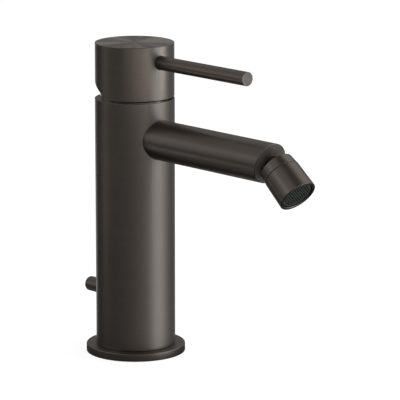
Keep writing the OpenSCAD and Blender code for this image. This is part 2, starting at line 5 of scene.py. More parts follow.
import bpy
import numpy as np
from bpy.props import FloatProperty, FloatVectorProperty, IntProperty, PointerProperty
from bpy.types import NodeSocket, Operator, Panel, PropertyGroup
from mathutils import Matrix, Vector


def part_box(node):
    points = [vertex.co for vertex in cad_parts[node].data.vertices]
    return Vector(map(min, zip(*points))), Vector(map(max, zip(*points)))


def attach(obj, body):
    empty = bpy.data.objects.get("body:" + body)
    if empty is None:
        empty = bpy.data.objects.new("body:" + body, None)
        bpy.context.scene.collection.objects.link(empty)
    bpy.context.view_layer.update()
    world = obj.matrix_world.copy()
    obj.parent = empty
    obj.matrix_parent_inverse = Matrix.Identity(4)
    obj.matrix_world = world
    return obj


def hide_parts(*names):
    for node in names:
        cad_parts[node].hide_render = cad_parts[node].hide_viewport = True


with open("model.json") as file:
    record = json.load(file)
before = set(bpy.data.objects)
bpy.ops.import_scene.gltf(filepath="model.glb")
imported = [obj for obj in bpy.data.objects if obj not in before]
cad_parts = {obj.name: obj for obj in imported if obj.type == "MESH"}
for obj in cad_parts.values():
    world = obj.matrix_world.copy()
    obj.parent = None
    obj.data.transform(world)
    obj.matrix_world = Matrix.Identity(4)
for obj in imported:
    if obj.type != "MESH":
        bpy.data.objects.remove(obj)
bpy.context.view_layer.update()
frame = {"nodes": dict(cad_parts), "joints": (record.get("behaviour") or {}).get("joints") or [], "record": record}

bl_info = {
    "name": "Bidet mixer",
    "version": (1, 0, 0),
    "blender": (4, 5, 0),
    "location": "3D View > Sidebar > Mixer",
    "description": "Makes the visible pieces and finishes of a single lever bidet mixer",
    "category": "Add Mesh",
}

MM = 0.001
SLIP = 0.05 * MM  # gap between pieces that fit into each other
PAST = 1 * MM  # how far a cutter reaches past the face that it opens
TINY = 1e-9  # length in metres that counts as none
UP = (0, 0, 1)
FORWARD = (0, -1, 0)


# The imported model

def low(node, axis):
    """Lowest coordinate of a CAD node along one axis."""
    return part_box(node)[0][axis]


def high(node, axis):
    """Highest coordinate of a CAD node along one axis."""
    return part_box(node)[1][axis]


def middle(node, axis):
    """Middle of a CAD node along one axis."""
    return (low(node, axis) + high(node, axis)) / 2


def span(node, axis):
    """Size of a CAD node along one axis."""
    return high(node, axis) - low(node, axis)


def joint(name):
    """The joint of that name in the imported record."""
    return next(j for j in frame["joints"] if j["name"] == name)


def body_of(node):
    """Name of the body that a CAD node rides on."""
    bodies = frame["record"]["behaviour"]["bodies"]
    return next(body for body, nodes in bodies.items() if node in nodes)


def slot_of(node):
    """Material slot of a CAD node in the record."""
    return next(part["material_slot"] for part in frame["record"]["subparts"] if part["node"] == node)


# Settings

def length(label, text, default):
    """Property for a length in metres."""
    return FloatProperty(name=label, description=text, default=default, min=0.0, unit="LENGTH", precision=5)


def slope(label, text, degrees):
    """Property for an angle."""
    return FloatProperty(name=label, description=text, default=math.radians(degrees), unit="ROTATION")


def paint(label, text, default):
    """Property for a linear colour."""
    return FloatVectorProperty(name=label, description=text, default=default, min=0.0, max=1.0, size=3,
                               subtype="COLOR")


def amount(label, text, default):
    """Property for a plain number from 0 up."""
    return FloatProperty(name=label, description=text, default=default, min=0.0)


class MixerBody(PropertyGroup):
    column_d: length("Column diameter", "Outside diameter of the column", span("column", 0))
    column_wall: length("Column wall", "Wall of the column tube", 3 * MM)
    column_edge: length("Column edge", "Rounding of the column's top edge", 0.3 * MM)
    foot_edge: length("Foot edge", "Rounding where the column stands on the flange", 0.25 * MM)
    flange_d: length("Flange diameter", "Outside diameter of the base flange", span("base_flange", 0))
    flange_hole: length("Flange hole", "Hole in the base flange", 30 * MM)
    flange_edge: length("Flange edge", "Rounding of the flange's upper edge", 0.5 * MM)
    slot_w: length("Slot width", "Width of the knob's slot in the column's rear", 4.5 * MM)
    travel: length("Knob lift", "How far the knob lifts", joint("waste_lift")["range_m"][1])
    screw_d: length("Screw hole", "Hole for the lock screw in the column's side", 4.1 * MM)
    screw_bearing: slope("Screw bearing", "Bearing of the lock screw from +X", 30)


class MixerHandle(PropertyGroup):
    cap_d: length("Cap diameter", "Diameter of the handle cap", span("handle_cap", 0))
    cap_wall: length("Cap wall", "Wall of the cap round its hollow", 1.5 * MM)
    cap_edge: length("Cap edge", "Rounding of the cap's edges", 0.35 * MM)
    hollow_h: length("Hollow height", "Height of the cap's hollow above the pivot", 10.5 * MM)
    relief: slope("Relief angle", "Slope of the relief under the cap's rear", 26.5)
    relief_y: length("Relief start", "Start of the relief behind the column's axis", 1.2 * MM)
    relief_step: length("Relief step", "Height of the step where the relief starts", 1.75 * MM)
    lever_d: length("Lever diameter", "Diameter of the lever", span("lever_pin", 0))
    lever_edge: length("Lever edge", "Rounding of the lever's tip", 0.35 * MM)
    lever_seat: length("Lever seat", "Depth of the lever's seat in the cap", 2.2 * MM)
    seat_gap: length("Seat gap", "Gap round the lever in its seat", 0.12 * MM)
    dome_gap: length("Dome gap", "Gap between the dome ring and the cap's hollow", 0.85 * MM)
    dome_rise: length("Dome rise", "Height of the dome ring's top above the pivot", 3 * MM)
    dome_lip: length("Dome opening", "Radius of the opening in the dome ring's top", 13 * MM)
    dome_bore: length("Dome bore", "Radius of the dome ring's bore over the nut", 14.45 * MM)


class MixerSpout(PropertyGroup):
    spout_d: length("Spout diameter", "Outside diameter of the spout", span("spout", 0))
    spout_wall: length("Spout wall", "Wall of the spout tube", 2 * MM)
    reach: length("Reach", "Centre of the spout's end, from the column's axis", 98 * MM)
    mitre: slope("Mitre", "Slant of the spout's end", 15)
    end_edge: length("End edge", "Rounding of the spout's end", 0.3 * MM)
    end_wall: length("End wall", "Thickness of the spout's closed end", 5 * MM)
    seat: length("Seat", "Rear face of the spout, from the column's axis", -high("spout", 1))
    shoulder: length("Shoulder", "Thickness of the spout's inner shoulder", 3.5 * MM)
    nipple_hole: length("Bolt hole", "Hole for the hollow bolt in the spout's rear", 9.1 * MM)
    stud_hole: length("Stud hole", "Hole for the ball stud in the spout's end", 8.1 * MM)
    ball_d: length("Ball diameter", "Diameter of the ball", 11 * MM)
    ball_out: length("Ball place", "Centre of the ball in front of the spout's end", 5.8 * MM)
    shank_d: length("Shank diameter", "Diameter of the ball stud's shank", 8 * MM)
    stud_neck_d: length("Neck diameter", "Diameter of the ball stud's neck", 6.4 * MM)
    stud_bore: length("Stud bore", "Waterway through the ball stud", 3.8 * MM)


class MixerHead(PropertyGroup):
    tilt: slope("Tilt", "Slope of the spray head below the horizontal", 40)
    rim_back: length("Rim place", "Rear rim of the collar behind the ball's centre", 2 * MM)
    rim_r: length("Rim radius", "Radius of the collar's rear rim", 8.55 * MM)
    seam_s: length("Seam place", "Seam between collar and shell, from the ball's centre", 3.6 * MM)
    seam_r: length("Seam radius", "Radius at the seam", 9.3 * MM)
    seam_gap: length("Seam gap", "Dark gap between collar and shell", 0.15 * MM)
    mouth_s: length("Mouth place", "Mouth of the shell, from the ball's centre", 18 * MM)
    mouth_r: length("Mouth radius", "Radius at the mouth", 9.7 * MM)
    mouth_bevel: length("Mouth bevel", "Width of the bevel inside the mouth", 0.3 * MM)
    aerator_r: length("Aerator radius", "Radius of the hole for the aerator", 8 * MM)
    grille_r: length("Insert radius", "Radius of the ribbed insert", 7.65 * MM)
    grille_rim: length("Insert rim", "Width of the rim round the ribs", 0.7 * MM)
    grille_in: length("Insert recess", "Face of the insert behind the mouth", 0.6 * MM)
    rib_depth: length("Rib depth", "Depth of the gaps between the ribs", 1.4 * MM)
    rib_pitch: length("Rib pitch", "Distance from rib to rib", 1.08 * MM)
    rib_turn: slope("Rib turn", "Turn of the ribs about the head's axis", -40)


class MixerWaste(PropertyGroup):
    knob_d: length("Knob diameter", "Diameter of the waste knob", span("waste_knob", 0))
    knob_round: length("Knob rounding", "Rounding of the knob's end", 1 * MM)
    knob_hole: length("Knob hole", "Depth of the stem's hole in the knob", 6.3 * MM)
    stem_d: length("Stem diameter", "Diameter of the knob's stem", span("knob_stem", 0))


class MixerFinish(PropertyGroup):
    metal_dark: paint("Metal, dark", "Brushed coating in its darker streaks", (0.12, 0.101, 0.087))
    metal_light: paint("Metal, light", "Brushed coating in its lighter streaks", (0.171, 0.144, 0.124))
    # The edge colour is lighter than the coating: partly rubbed wear, partly a painted highlight along the edges.
    metal_worn_and_edge_highlight: paint("Metal, edges", "Coating where it is rubbed at the edges", (0.2, 0.18, 0.165))
    # The two faced-end colours are painted light: the wedges between them stand for the highlights and shade that
    # a faced end reflects.
    faced_wedge_painted_shade: paint("Faced end, dark", "Dark wedges of an end faced on a lathe", (0.07, 0.06, 0.053))
    faced_wedge_painted_highlight: paint("Faced end, light", "Light wedges of a faced end", (0.172, 0.149, 0.132))
    faced_matt: amount("Faced end, matt share", "Share of a faced end that scatters as a matt one does", 0.42)
    faced_rough: amount("Faced end, roughness", "How much rougher a faced end is than a brushed side", 0.12)
    smooth: amount("Smoothest", "Least roughness of the brushed coating", 0.3)
    rough: amount("Roughest", "Most roughness of the brushed coating", 0.38)
    brass: paint("Brass", "Machined brass inside", (0.66, 0.46, 0.2))
    steel: paint("Steel", "Machined stainless steel", (0.57, 0.55, 0.51))
    copper: paint("Copper", "Drawn copper tube", (0.72, 0.36, 0.22))
    rubber: paint("Rubber", "Seals", (0.02, 0.02, 0.02))
    nylon: paint("Nylon", "Moulded pieces of the cartridge", (0.72, 0.71, 0.66))
    ceramic: paint("Ceramic", "Discs of the cartridge", (0.84, 0.82, 0.76))
    insert: paint("Insert", "Dark plastic of the aerator", (0.04, 0.047, 0.042))


class MixerStudio(PropertyGroup):
    floor_r: length("Floor radius", "Radius of the pale floor", 9)
    floor_tone: paint("Floor", "Colour of the pale floor", (0.86, 0.86, 0.86))
    floor_white: amount("Floor white", "Light of the floor's plain white, as the camera sees it", 1.06)
    floor_plain: amount("Floor plain share", "Share of plain white in the floor that the camera sees", 0.8)
    shade_r: length("Shade radius", "Radius of the shaded floor that the metal sees", 37 * MM)
    dark_r: length("Dark floor radius", "Radius of the floor's dark sector that the metal sees", 170 * MM)
    dark_light: amount("Dark floor light", "Light of the dark floor that the metal sees", 0.08)
    strip_r: length("Strip lamp radius", "Distance of the strip lamps from the column's axis", 88 * MM)
    strip_below: length("Strip lamp foot", "How far the strip lamps reach below the column's top", 7 * MM)
    strip_above: length("Strip lamp head", "How far the strip lamps reach above the cap's top", 4 * MM)
    room: amount("Room light", "Light from all round on matt surfaces", 0.9)
    lamp: amount("Lamp", "Power of the large soft lamp in watts", 9.0)
    lamp_d: length("Lamp diameter", "Diameter of the large soft lamp", 0.9)
    lens: amount("Lens", "Focal length of the camera in millimetres", 274.11)
    yaw: slope("Camera bearing", "Turn of the camera from +Y", -42.28015)
    pitch: slope("Camera slope", "How far the camera looks down", 12.17587)
    turns: IntProperty(name="Turns", description="Faces round a turned piece", default=256, min=24)


GROUPS = {"mixer_body": MixerBody, "mixer_handle": MixerHandle, "mixer_spout": MixerSpout,
          "mixer_head": MixerHead, "mixer_waste": MixerWaste, "mixer_finish": MixerFinish,
          "mixer_studio": MixerStudio}


# Stage, in metres and degrees

CAMERA_PLACE = (-0.98313, -1.12959, 0.400577)
CAMERA_SENSOR = 36.0  # width in millimetres
CAMERA_CLIP = (0.05, 50.0)
LAMP_PLACE = (0.35, -0.25, 1.1)
LAMP_TURN = (13, 17, 0)

# Rings of panels round the mixer as metal sees them, from below the horizon up: degrees to the right of the
# camera, and brightness
LOW_PANELS = ((-180, 0.25), (-136, 0.3), (-112, 0.5), (-98, 0.6), (-86, 0.4), (-60, 0.22), (0, 0.3),
              (60, 0.7), (93, 1.0), (115, 0.5), (130, 0.12), (180, 0.12))
LEVEL_PANELS = ((-180, 1.0), (-160, 0.8), (-142, 0.03), (-112, 0.05), (-95, 0.25), (-80, 0.06), (-50, 0.16),
                (-20, 0.24), (0, 0.33), (20, 0.46), (40, 0.75), (54, 1.7), (60, 2.3), (82, 2.3), (90, 1.4),
                (110, 0.6), (130, 0.3), (150, 0.25), (180, 0.5))
HIGH_PANELS = ((-180, 0.21), (-150, 0.2), (-125, 0.15), (-112, 0.32), (-100, 0.5), (-90, 0.68), (-78, 0.45),
               (-68, 0.28), (-44, 0.25), (-16, 0.28), (0, 0.36), (20, 0.5), (40, 0.85), (54, 1.7), (60, 2.2),
               (82, 2.2), (94, 1.4), (110, 0.8), (130, 0.4), (180, 0.21))
UPPER_PANELS = ((-180, 0.22), (-150, 0.3), (-125, 0.4), (-100, 0.55), (-84, 0.9), (-70, 1.3), (-52, 1.2),
                (-42, 0.4), (-16, 0.3), (0, 0.4), (40, 0.9), (60, 1.6), (94, 1.2), (130, 0.45), (180, 0.22))
CEILING_PANELS = ((-180, 0.4), (-146, 0.48), (-115, 0.36), (-95, 0.34), (-70, 0.7), (-50, 0.55), (-20, 0.3),
                  (30, 0.2), (80, 0.45), (105, 1.0), (135, 1.05), (160, 0.7), (180, 0.45))
ZENITH, FLOOR = 0.12, 0.06  # brightness straight up and straight down
PANEL_LIGHT = 2.4  # brightness that a ramp's full white stands for
RED_LOSS, BLUE_GAIN = 0.1, 0.08  # how much cooler a panel at that brightness is

# Sines of the elevations between which each ring, and last the zenith, takes over from what is below it
RING_STEPS = ((-0.84, -0.6), (-0.36, -0.25), (-0.18, 0.04), (0.16, 0.3), (0.36, 0.52), (0.9, 0.97))

# Strip lamps close to the cap, which only metal sees: degrees as above, width in metres, and light
STRIPS = ((10, 0.13, 0.22), (22, 0.085, 0.2), (32, 0.04, 0.16), (81, 0.028, 1.5))
STRIP_WATTS = 3.6  # power of a strip lamp for each square metre, at a light of 1

# Share of the floor's light that is missing round the mixer, out to the dark floor's radius: degrees as above
DARK_FLOOR = ((-180, 0.0), (-146, 0.1), (-118, 0.76), (-82, 0.78), (-58, 0.6), (-36, 0.3), (-10, 0.0),
              (180, 0.0))


# Shapes

def angles(count):
    """Angles a full turn apart in equal steps, from a half step on."""
    return (np.arange(count) + 0.5) * 2 * np.pi / count


def facets(fewer=1):
    """Angles of the faces round a turned piece. Their number is the set one divided by fewer."""
    return angles(bpy.context.scene.mixer_studio.turns // fewer)


def circle(radius, count=64):
    """Outline (r cos a, r sin a)."""
    a = angles(count)
    return radius * np.stack([np.cos(a), np.sin(a)], axis=1)


def arc(centre, radius, start, end, steps=24):
    """Points (r cos a, c + r sin a) on a circle about the axis' point c, from one angle to another."""
    a = np.linspace(start, end, steps)
    return np.stack([radius * np.cos(a), centre + radius * np.sin(a)], axis=1)


def softened(corners, radii, steps=6, outside=1.3, shortest=1e-8):
    """Outline with its corners rounded. Between A and B, which lie a radius before and after a corner P, it
    follows (1-t)^2 A + 2t(1-t) P + t^2 B. A point just outside A and B keeps the straight faces' shading
    flat. A point closer to the one before it than the shortest step, in metres, is left out."""
    p = np.asarray(corners, float)
    r = np.broadcast_to(np.asarray(radii, float), p.shape[-2])[:, None]
    to_last, to_next = np.roll(p, 1, axis=-2) - p, np.roll(p, -1, axis=-2) - p
    to_last /= np.maximum(np.linalg.norm(to_last, axis=-1, keepdims=True), TINY)
    to_next /= np.maximum(np.linalg.norm(to_next, axis=-1, keepdims=True), TINY)
    t = np.linspace(0, 1, steps)[:, None]
    a, b, corner = ((p + d * r)[..., None, :] for d in (to_last, to_next, 0 * p))
    curve = (1 - t) ** 2 * a + 2 * t * (1 - t) * corner + t ** 2 * b
    outer_a, outer_b = ((p + d * r * outside)[..., None, :] for d in (to_last, to_next))
    line = np.concatenate([outer_a, curve, outer_b], axis=-2)
    line = line.reshape(*p.shape[:-2], -1, p.shape[-1])
    step = np.linalg.norm(np.diff(line, axis=-2), axis=-1).reshape(-1, line.shape[-2] - 1).max(axis=0)
    return line[..., np.r_[True, step > shortest], :]


def turned(profile, a):
    """Profile (radius, height), one for all angles or one for each, turned: (r cos a, r sin a, h)."""
    r, h = np.broadcast_arrays(profile[..., 0], profile[..., 1] + 0 * a[:, None])
    return np.stack([r * np.cos(a)[:, None], r * np.sin(a)[:, None], h], axis=-1)


def lathe(corners, radii, fewer=1):
    """Corners (radius, height) rounded, and turned with the set number of faces divided by fewer."""
    return turned(softened(corners, radii), facets(fewer))


def tilted(angle):
    """Axes as rows, with the third along -Y and turned down by the angle."""
    c, s = math.cos(angle), math.sin(angle)
    return np.array([[1, 0, 0], [0, -s, c], [0, -c, -s]])


def sideways(bearing):
    """Axes as rows, with the third level and at a bearing from +X, and the second upright."""
    c, s = math.cos(bearing), math.sin(bearing)
    return np.array([[-s, c, 0], [0, 0, 1], [c, s, 0]])


def placed(points, origin, axes):
    """Points given along the rows of axes, moved to an origin: o + x X + y Y + z Z."""
    return points @ axes + np.asarray(origin)


def bar(outline, start, end):
    """Closed prism: an outline carried straight from start to end along the third axis."""
    hub = np.broadcast_to(outline.mean(axis=0), outline.shape)
    across = np.stack([hub, outline, outline, hub], axis=1)
    depth = np.broadcast_to([start, start, end, end], across.shape[:2])
    return np.concatenate([across, depth[..., None]], axis=2)


# Meshes

UV_NAME = "Brushing"
UV_SCALE = 10  # steps of v in a metre
SHARP = math.radians(32)  # angle between faces from which their edge shows
SQUARE = 0.995  # cosine from which a face counts as square to an axis


def hang(name, data):
    """New object of that name in the scene."""
    held = bpy.data.objects.new(name, data)
    bpy.context.scene.collection.objects.link(held)
    return held


def patch(points, loop):
    """Faces of one grid. Rows run round and close, columns run along and close too with loop. An end column
    that lies in one point becomes a fan. UV is the share of a turn and the length along in decimetres."""
    rows, cols = points.shape[:2]
    steps = np.linalg.norm(np.diff(points, axis=1, append=points[:, :1]), axis=2).mean(axis=0)
    along = np.r_[0, np.cumsum(steps)] * UV_SCALE
    i = np.arange(rows)[:, None, None] + np.array([0, 1, 1, 0])
    j = np.arange(cols if loop else cols - 1)[None, :, None] + np.array([0, 0, 1, 1])
    i, j = np.broadcast_arrays(i, j)
    i, j = i.reshape(-1, 4), j.reshape(-1, 4)
    uv = np.stack([i / rows, along[j]], axis=-1)
    same = np.arange(rows * cols).reshape(rows, cols)
    if not loop:
        for end in (0, cols - 1):
            if np.ptp(points[:, end], axis=0).max() < TINY:
                same[:, end] = same[0, end]
    corners = same[i % rows, j % cols]
    first, last = corners[:, 0] == corners[:, 1], corners[:, 2] == corners[:, 3]
    whole = ~(first | last)
    return [(corners[whole], uv[whole]), (corners[first][:, [0, 2, 3]], uv[first][:, [0, 2, 3]]),
            (corners[last][:, :3], uv[last][:, :3])]


def skin(name, grids, loop=False):
    """Mesh over one or more grids of points. Where they close it, its faces look outward."""
    points, faces, places, start = [], [], [], 0
    for grid in grids:
        for corners, uv in patch(grid, loop):
            faces.append(corners + start)
            places.append(uv)
            points.append(grid.reshape(-1, 3)[corners])
        start += grid.shape[0] * grid.shape[1]
    volume = sum((np.cross(p[:, 0], p[:, k]) * p[:, k + 1]).sum()
                 for p in points for k in range(1, p.shape[1] - 1) if len(p))
    if volume < 0:
        faces = [f[:, ::-1] for f in faces]
        places = [uv[:, ::-1] for uv in places]
    used, order = np.unique(np.concatenate([f.ravel() for f in faces]), return_inverse=True)
    cloud = np.concatenate([g.reshape(-1, 3) for g in grids])[used]
    sizes = np.concatenate([np.full(len(f), f.shape[1]) for f in faces])
    mesh = bpy.data.meshes.new(name)
    mesh.from_pydata(cloud.tolist(), [], [f.tolist() for f in np.split(order, np.cumsum(sizes)[:-1])])
    layer = mesh.uv_layers.new(name=UV_NAME)
    layer.data.foreach_set("uv", np.concatenate([uv.reshape(-1, 2) for uv in places]).ravel())
    return mesh


def cut_away(piece, cutters):
    """Takes the closed solids given as grids out of a piece and keeps the result as its mesh."""
    tools = [hang("cutter", skin("cutter", [grid])) for grid in cutters]
    for tool in tools:
        cut = piece.modifiers.new("Cut", "BOOLEAN")
        cut.object, cut.solver, cut.operation = tool, "EXACT", "DIFFERENCE"
    graph = bpy.context.evaluated_depsgraph_get()
    mesh = bpy.data.meshes.new_from_object(piece.evaluated_get(graph))
    piece.modifiers.clear()
    piece.data = mesh
    for tool in tools:
        bpy.data.objects.remove(tool)


def mark_faced(mesh, axis, wedges):
    """Face attribute on the faces square to an axis: how strongly painted highlight and shade wedges show on them.
    """
    marks = mesh.attributes.new("Faced", "FLOAT", "FACE")
    for face, mark in zip(mesh.polygons, marks.data):
        mark.value = wedges if face.normal.dot(axis) > SQUARE else 0.0


def add_piece(name, grids, node, loop=False, cutters=(), faced=None):
    """Makes a piece that stands for a CAD node, rides on its body and takes its slot and finish."""
    piece = hang(name, skin(name, grids, loop))
    if cutters:
        cut_away(piece, cutters)
    if faced:
        mark_faced(piece.data, *faced)
    piece.data.name = name
    piece.data.shade_smooth()
    piece.data.set_sharp_from_angle(angle=SHARP)
    piece.data.materials.append(finish_of(slot_of(node)))
    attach(piece, body_of(node))
    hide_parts(node)
    return piece


# Nodes of materials

NOISE_RANGE = (0.3, 0.7)  # where nearly all of a noise's values lie


def add_node(tree, kind, inputs=(), **options):
    """Adds a shader node, sets it, and fills its inputs with values or links."""
    made = tree.nodes.new(kind)
    for key, value in options.items():
        setattr(made, key, value)
    for key, value in dict(inputs).items():
        if isinstance(value, NodeSocket):
            tree.links.new(value, made.inputs[key])
        else:
            made.inputs[key].default_value = value
    return made


def blank(holder):
    """Empty node tree of a material or a world."""
    holder.use_nodes = True
    holder.node_tree.nodes.clear()
    return holder.node_tree


def calc(tree, a, b, operation="MULTIPLY", **options):
    """Output of a math node on two values or sockets."""
    return add_node(tree, "ShaderNodeMath", {0: a, 1: b}, operation=operation, **options).outputs[0]


def balance(tree, a, b, share):
    """Output of share a + (1 - share) b, for two numbers."""
    return calc(tree, calc(tree, a, share), calc(tree, b, 1 - share), "ADD")


def contrasted(tree, value, contrast):
    """Output of 0.5 + contrast (value - 0.5), kept between 0 and 1."""
    apart = calc(tree, calc(tree, value, 0.5, "SUBTRACT"), contrast)
    return calc(tree, apart, 0.5, "ADD", use_clamp=True)


def carried(tree, value, start, end, low_end=0.0, high_end=1.0, **options):
    """Output of a value carried from the range start to end to another one, and kept in that."""
    return add_node(tree, "ShaderNodeMapRange", {
        "Value": value, "From Min": start, "From Max": end, "To Min": low_end, "To Max": high_end},
        **options).outputs[0]


def blend(tree, factor, a, b):
    """Output of a mix of two colours, each a socket or a linear colour."""
    a, b = (tone if isinstance(tone, NodeSocket) else (*tone, 1.0) for tone in (a, b))
    mix = add_node(tree, "ShaderNodeMix", {"Factor": factor, "A": a, "B": b}, data_type="RGBA")
    return mix.outputs["Result"]


def mix_shaders(tree, factor, a, b):
    """Output that goes from one shader to another with a factor."""
    return add_node(tree, "ShaderNodeMixShader", {0: factor, 1: a, 2: b}).outputs[0]


def noise(tree, place, scale, detail, roughness=0.5, along=None):
    """Output of a noise at a place, and along a fourth coordinate where one is given."""
    inputs = {"Vector": place, "Scale": scale, "Detail": detail, "Roughness": roughness}
    if along is None:
        return add_node(tree, "ShaderNodeTexNoise", inputs).outputs["Fac"]
    return add_node(tree, "ShaderNodeTexNoise", {**inputs, "W": along}, noise_dimensions="4D").outputs["Fac"]


def new_group(name, inputs):
    """Empty shader node group and its named inputs, each with its type and default."""
    tree = bpy.data.node_groups.new(name, "ShaderNodeTree")
    for label, (kind, default) in inputs.items():
        socket = tree.interface.new_socket(name=label, in_out="INPUT", socket_type="NodeSocket" + kind)
        if default is not None:
            socket.default_value = default
    return tree, tree.nodes.new("NodeGroupInput").outputs


def finished_group(tree, **results):
    """The group with its named outputs, each fed by a socket."""
    for label in results:
        tree.interface.new_socket(name=label, in_out="OUTPUT", socket_type="NodeSocketFloat")
    add_node(tree, "NodeGroupOutput", results)
    return tree


def streaks_group(name):
    """Brushed or turned streaks: noise that is long along the stroke and fine across it."""
    tree, given = new_group(name, {
        "Place": ("Vector", None), "Across": ("Float", 0.0), "Length": ("Float", 40.0),
        "Fineness": ("Float", 260.0), "Contrast": ("Float", 1.0)})
    place = add_node(tree, "ShaderNodeVectorMath", {0: given["Place"], "Scale": given["Length"]},
                     operation="SCALE").outputs[0]
    across = calc(tree, given["Across"], given["Fineness"])
    fine, coarse = (noise(tree, place, 1.0, detail, roughness=0.6, along=calc(tree, across, fineness))
                    for fineness, detail in ((1.0, 3.0), (0.22, 1.0)))
    tone = contrasted(tree, balance(tree, fine, coarse, 0.6), given["Contrast"])
    return finished_group(tree, Tone=tone, Height=fine)


def grain_group(name):
    """Fine moulded grain with soft patches over it."""
    tree, given = new_group(name, {
        "Place": ("Vector", None), "Grain": ("Float", 2500.0), "Patches": ("Float", 120.0)})
    fine = noise(tree, given["Place"], given["Grain"], detail=3.0, roughness=0.65)
    pits = add_node(tree, "ShaderNodeTexVoronoi", {"Vector": given["Place"], "Scale": given["Grain"]})
    pit_depth = calc(tree, pits.outputs["Distance"], 0.4)
    soft = noise(tree, given["Place"], given["Patches"], detail=4.0)
    return finished_group(tree, Tone=fine, Patch=soft, Height=calc(tree, fine, pit_depth, "ADD"))


def wear_and_edge_highlight_group(name):
    """Lighter edges, partly rubbed wear and partly a painted edge highlight: the mesh's outer corners, broken up
    by noise.
    """
    tree, given = new_group(name, {
        "Place": ("Vector", None), "Start": ("Float", 0.56), "Full": ("Float", 0.7)})
    shape = add_node(tree, "ShaderNodeNewGeometry")
    edge = carried(tree, shape.outputs["Pointiness"], given["Start"], given["Full"])
    breaks = noise(tree, given["Place"], scale=300.0, detail=4.0)
    broken = carried(tree, breaks, *NOISE_RANGE, low_end=0.35)
    return finished_group(tree, Wear=calc(tree, edge, broken))


def painted_highlight_wedges_group(name):
    """Painted highlight and shade wedges of a faced end: noise on the circle (cos 2 pi u, sin 2 pi u)."""
    tree, given = new_group(name, {
        "Turn": ("Float", 0.0), "Count": ("Float", 1.6), "Contrast": ("Float", 1.0)})
    turn = calc(tree, given["Turn"], 2 * math.pi)
    around = add_node(tree, "ShaderNodeCombineXYZ", {
        0: calc(tree, turn, 0.0, "COSINE"), 1: calc(tree, turn, 0.0, "SINE")}).outputs[0]
    wedges = noise(tree, around, given["Count"], detail=2.0)
    return finished_group(tree, Tone=contrasted(tree, wedges, given["Contrast"]))


EFFECTS = {"Brushed streaks": streaks_group, "Moulded grain": grain_group, "Rubbed edges": wear_and_edge_highlight_group,
           "Faced wedges": painted_highlight_wedges_group}


def effect(tree, name, inputs):
    """Outputs of a shared effect with a material's own values. Its node group is made once."""
    group = bpy.data.node_groups.get(name) or EFFECTS[name](name)
    return add_node(tree, "ShaderNodeGroup", inputs, node_tree=group).outputs


# Materials

def new_material(name, tone):
    """Empty material, its node tree, and object coordinates in it."""
    material = bpy.data.materials.new(name)
    material.diffuse_color = (*tone, 1.0)
    tree = blank(material)
    return material, tree, add_node(tree, "ShaderNodeTexCoord").outputs["Object"]


def put_surface(tree, height, depth, strength, inputs):
    """Surface shader with its inputs, and a bump from a height that stands for a depth in metres."""
    bump = add_node(tree, "ShaderNodeBump", {"Height": height, "Distance": depth, "Strength": strength})
    shader = add_node(tree, "ShaderNodeBsdfPrincipled", {**inputs, "Normal": bump.outputs[0]})
    add_node(tree, "ShaderNodeOutputMaterial", {0: shader.outputs[0]})


def brushed_metal(name):
    """Dark coating over a brushed surface. The stroke runs round each turned piece, along its own UV's u."""
    finish = bpy.context.scene.mixer_finish
    material, tree, place = new_material(name, finish.metal_light)
    uv = add_node(tree, "ShaderNodeUVMap", uv_map=UV_NAME).outputs[0]
    turn, across = add_node(tree, "ShaderNodeSeparateXYZ", {0: uv}).outputs[:2]
    streaks = effect(tree, "Brushed streaks", {"Place": place, "Across": across, "Contrast": 0.6})
    grain = effect(tree, "Moulded grain", {"Place": place, "Grain": 3000.0, "Patches": 45.0})
    # Outer edges take a lighter colour: partly wear, partly a painted edge highlight.
    wear_and_highlight = effect(tree, "Rubbed edges", {"Place": place})
    faced = add_node(tree, "ShaderNodeAttribute", attribute_name="Faced").outputs["Fac"]
    is_faced = calc(tree, faced, 0.0, "GREATER_THAN")
    # Faced ends take painted highlight and shade wedges in their colour.
    wedges = effect(tree, "Faced wedges", {"Turn": turn, "Contrast": calc(tree, faced, 4.0)})
    side = blend(tree, streaks["Tone"], finish.metal_dark, finish.metal_light)
    end = blend(tree, wedges["Tone"], finish.faced_wedge_painted_shade, finish.faced_wedge_painted_highlight)
    uneven = balance(tree, streaks["Tone"], grain["Patch"], 0.4)
    rough = carried(tree, uneven, *NOISE_RANGE, finish.smooth, finish.rough)
    stroke = add_node(tree, "ShaderNodeTangent", direction_type="UV_MAP", uv_map=UV_NAME).outputs[0]
    put_surface(tree, streaks["Height"], depth=0.02 * MM, strength=0.08, inputs={
        "Base Color": blend(tree, wear_and_highlight["Wear"], blend(tree, is_faced, side, end), finish.metal_worn_and_edge_highlight),
        "Roughness": calc(tree, rough, calc(tree, is_faced, finish.faced_rough), "ADD"),
        "Metallic": calc(tree, 1.0, calc(tree, is_faced, finish.faced_matt), "SUBTRACT"),
        "Anisotropic": 0.38, "Anisotropic Rotation": 0.25, "Tangent": stroke})
    return material


def turned_metal(name, tone, roughness):
    """Bare machined metal with turning marks round the Z axis."""
    material, tree, place = new_material(name, tone)
    across = add_node(tree, "ShaderNodeSeparateXYZ", {0: place}).outputs["Z"]
    streaks = effect(tree, "Brushed streaks", {
        "Place": place, "Across": calc(tree, across, UV_SCALE), "Fineness": 300.0, "Contrast": 0.9})
    grain = effect(tree, "Moulded grain", {"Place": place, "Patches": 90.0})
    smoother, rougher, darker = 0.06, 0.1, [0.72 * c for c in tone]
    put_surface(tree, streaks["Height"], depth=0.03 * MM, strength=0.3, inputs={
        "Base Color": blend(tree, streaks["Tone"], darker, tone), "Metallic": 1.0,
        "Roughness": carried(tree, grain["Patch"], *NOISE_RANGE, roughness - smoother, roughness + rougher)})
    return material


